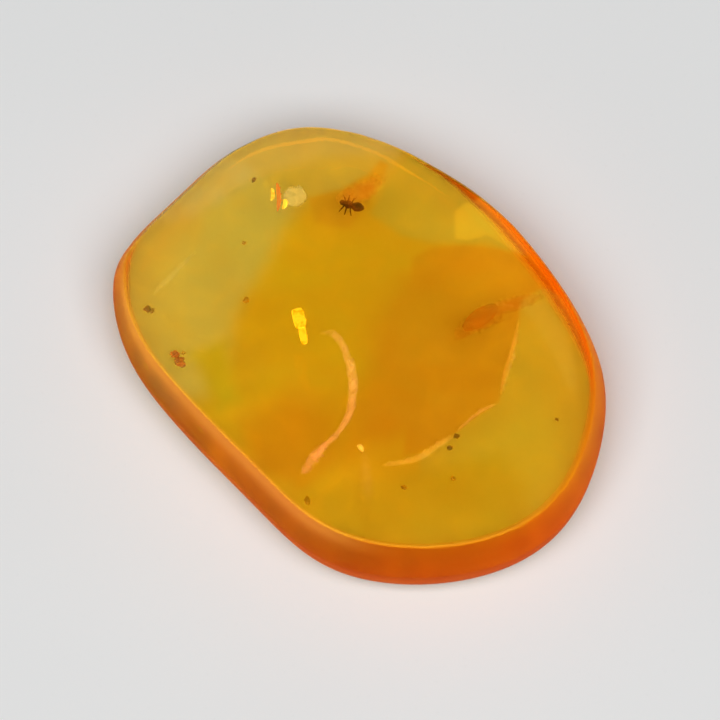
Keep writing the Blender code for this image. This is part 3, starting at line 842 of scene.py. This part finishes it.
def crack_material(name, clouds, colour, light, density, soft):
    """A fracture face in the resin: a veil, denser in patches, that scatters light and fades to its edge.

    Much of its brightness is painted light.
    """
    material, tree, shader = new_material(name, 1.0)
    patch = place_group(tree, clouds, Scale=1300.0, Warp=1.0, Low=0.30, High=0.62)
    fine = place_group(tree, clouds, Scale=3000.0, Warp=0.6, Low=0.32, High=0.68)
    shade = tuple(VEIL_SHADE * c for c in colour)
    feed(tree, shader.inputs["Base Color"], mix_colour(tree, fine, colour, shade))
    # Painted light, which stands in for the light that the crack scatters
    dim = tuple(VEIL_DIM * c for c in light)
    feed(tree, shader.inputs["Emission Color"], mix_colour(tree, patch, dim, light))
    feed(tree, shader.inputs["Roughness"], spread(tree, fine, 0.0, 1.0, 0.3, 0.55))
    dense = arithmetic(tree, "MULTIPLY", spread(tree, patch, 0.0, 1.0, VEIL_THIN, 1.0), density)
    ragged = arithmetic(tree, "ADD", attribute(tree, "core"), spread(tree, fine, 0.0, 1.0, -0.12, 0.12))
    feed(tree, shader.inputs["Alpha"], arithmetic(tree, "MULTIPLY", dense, spread(tree, ragged, 0.0, soft)))
    return material


def spangle_material(clouds, scratches):
    """A sun spangle: a mirror-like disc crack that throws the light straight back, pleated across.

    Much of its brightness is a painted glint.
    """
    material, tree, shader = new_material("spangle", 1.0)
    shader.inputs["Metallic"].default_value = 0.6
    lobes = place_group(tree, clouds, Scale=2600.0, Warp=0.5, Low=0.38, High=0.58)
    pleats = place_group(tree, scratches, Scale=1800.0, Fineness=0.03, Amount=0.3)
    # Its colours, and the painted glint that adds to its real gloss
    colour, light = (mix_colour(tree, lobes, *pair) for pair in (SPANGLE_COLOURS, SPANGLE_PAINTED_GLINTS))
    feed(tree, shader.inputs["Base Color"], colour)
    feed(tree, shader.inputs["Emission Color"], light)
    feed(tree, shader.inputs["Roughness"], spread(tree, pleats, 0.0, 1.0, 0.15, 0.4))
    bump(tree, shader, pleats, 0.12, 0.00002)
    return material


def bit_material(name, clouds, specks, dark, light, painted_glow, density):
    """A sealed bit of bark, dust or chitin: mottled, rough, with a little of the resin's light in it.

    The resin's light in it is painted light.
    """
    material, tree, shader = new_material(name, 1.0)
    mottle = place_group(tree, clouds, Scale=2400.0, Warp=0.8, Low=0.38, High=0.62)
    dots = place_group(tree, specks, Scale=7000.0, Size=0.35, Share=0.5)
    colour = mix_colour(tree, mottle, dark, light)
    colour = mix_colour(tree, arithmetic(tree, "MULTIPLY", dots, 0.5), colour, dark)
    feed(tree, shader.inputs["Base Color"], colour)
    # Painted light, which stands in for the resin's light in the bit
    dim = tuple(BIT_DIM * c for c in painted_glow)
    feed(tree, shader.inputs["Emission Color"], mix_colour(tree, mottle, dim, painted_glow))
    feed(tree, shader.inputs["Roughness"], spread(tree, dots, 0.0, 1.0, 0.45, 0.75))
    if density < 1:
        feed(tree, shader.inputs["Alpha"], spread(tree, mottle, 0.0, 1.0, density * BIT_THIN, density))
    bump(tree, shader, mottle, 0.5, 0.00004)
    return material


def floor_material(clouds, specks):
    """Matt pale card, very slightly uneven in tone, with painted shade where it is seen in a mirror image."""
    material, tree, shader = new_material("floor_card")
    tone = place_group(tree, clouds, Scale=30.0, Warp=0.3, Low=0.3, High=0.7)
    dots = place_group(tree, specks, Scale=2500.0, Size=0.2, Share=0.3)
    colour = mix_colour(tree, tone, *FLOOR_TONES)
    colour = mix_colour(tree, arithmetic(tree, "MULTIPLY", dots, 0.03), colour, (0.5, 0.5, 0.5))
    # Painted shade: the card's colour is cut to GLOSS_KEPT of itself in mirror images of it
    feed(tree, shader.inputs["Base Color"], mix_colour(tree, mirror_image_share(tree), (0.0, 0.0, 0.0), colour))
    feed(tree, shader.inputs["Roughness"], spread(tree, dots, 0.0, 1.0, 0.9, 0.8))
    return material


def make_floor(material):
    """The pale floor, just under the piece."""
    bpy.ops.mesh.primitive_plane_add(size=FLOOR_SIZE, location=(0, 0, -FLOOR_GAP))
    floor = bpy.context.object
    floor.name = "floor"
    floor.data.materials.append(material)


def from_the_middle(way, elevation, distance):
    """The point at a distance from the origin, in degrees of plan and of elevation."""
    a, e = math.radians(way), math.radians(elevation)
    return Vector((math.cos(e) * math.cos(a), math.cos(e) * math.sin(a), math.sin(e))) * distance


def stand(name, data, place, aim):
    """Puts a camera or a lamp at a place, looking at its aim."""
    made = bpy.data.objects.new(name, data)
    made.location = place
    made.rotation_euler = (aim - place).to_track_quat("-Z", "Y").to_euler()
    bpy.context.scene.collection.objects.link(made)
    return made


def make_camera():
    """The long lens, in front of the piece and high up."""
    camera = bpy.data.cameras.new("camera")
    camera.lens = CAMERA_LENS
    camera.clip_start, camera.clip_end = 0.01, 20.0
    aim = Vector(CAMERA_AIM)
    place = aim + from_the_middle(-90, CAMERA_ELEVATION, CAMERA_DISTANCE)
    bpy.context.scene.camera = stand("camera", camera, place, aim)


def make_panel(way, elevation, distance, width, height, watts):
    """A large soft area light that looks at the piece from a direction."""
    light = bpy.data.lights.new("front_panel", "AREA")
    light.shape = "RECTANGLE"
    light.size, light.size_y, light.energy = width, height, watts
    stand("front_panel", light, from_the_middle(way, elevation, distance), Vector((0, 0, 0)))


def make_sky():
    """A bright ring round the horizon that fades to a dim zenith.

    The dim part is what the level face mirrors, so that the resin's own colour shows there, and the back
    flats mirror the ring's upper edge as a pale veil.
    """
    world = bpy.data.worlds.new("studio")
    world.use_nodes = True
    tree = world.node_tree
    up = node(tree, "ShaderNodeSeparateXYZ", Vector=node(tree, "ShaderNodeTexCoord").outputs["Generated"])
    level = spread(tree, up.outputs["Z"], *SKY_FADE, *SKY_LEVELS)
    strength = arithmetic(tree, "MULTIPLY", level, mirror_image_share(tree))
    feed(tree, tree.nodes["Background"].inputs["Strength"], strength)
    bpy.context.scene.world = world


def seal_in(piece, material):
    """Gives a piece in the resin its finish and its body."""
    piece.data.materials.append(material)
    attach(piece, BODY)


def main():
    bpy.context.scene.view_settings.view_transform = "Standard"
    bpy.context.scene.view_settings.look = "Medium High Contrast"
    bpy.context.scene.cycles.max_bounces = LIGHT_BOUNCES
    bpy.context.scene.cycles.transmission_bounces = LIGHT_BOUNCES
    clouds, scratches, specks = clouds_group(), scratches_group(), specks_group()

    body = make_body()
    body.data.materials.append(amber_material(clouds, scratches))
    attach(body, BODY)
    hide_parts("amber_upper", "amber_lower")

    finishes = {name: crack_material(name, clouds, *values) for name, values in VEILS.items()}
    finishes["spangle"] = spangle_material(clouds, scratches)
    for name, values in BITS.items():
        finishes[name] = bit_material(name, clouds, specks, *values)

    for name, (finish, depth, taper, wander, path, half_width) in BLADES.items():
        piece = blade(name, at_depth(path, depth), np.array(half_width, float), taper, wander)
        seal_in(piece, finishes[finish])
    for number, (x, y, depth, size, finish) in enumerate(SPECKS):
        piece = crumb(f"speck_{number + 1}", *at_depth([(x, y)], depth)[0], size, number)
        seal_in(piece, finishes[finish])
    for name, finish in (("insect", "insect_chitin"), ("plant_fragment", "bark")):
        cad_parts[name].material_slots[0].material = finishes[finish]

    make_floor(floor_material(clouds, specks))
    make_sky()
    make_panel(*FRONT_PANEL)
    make_camera()


main()
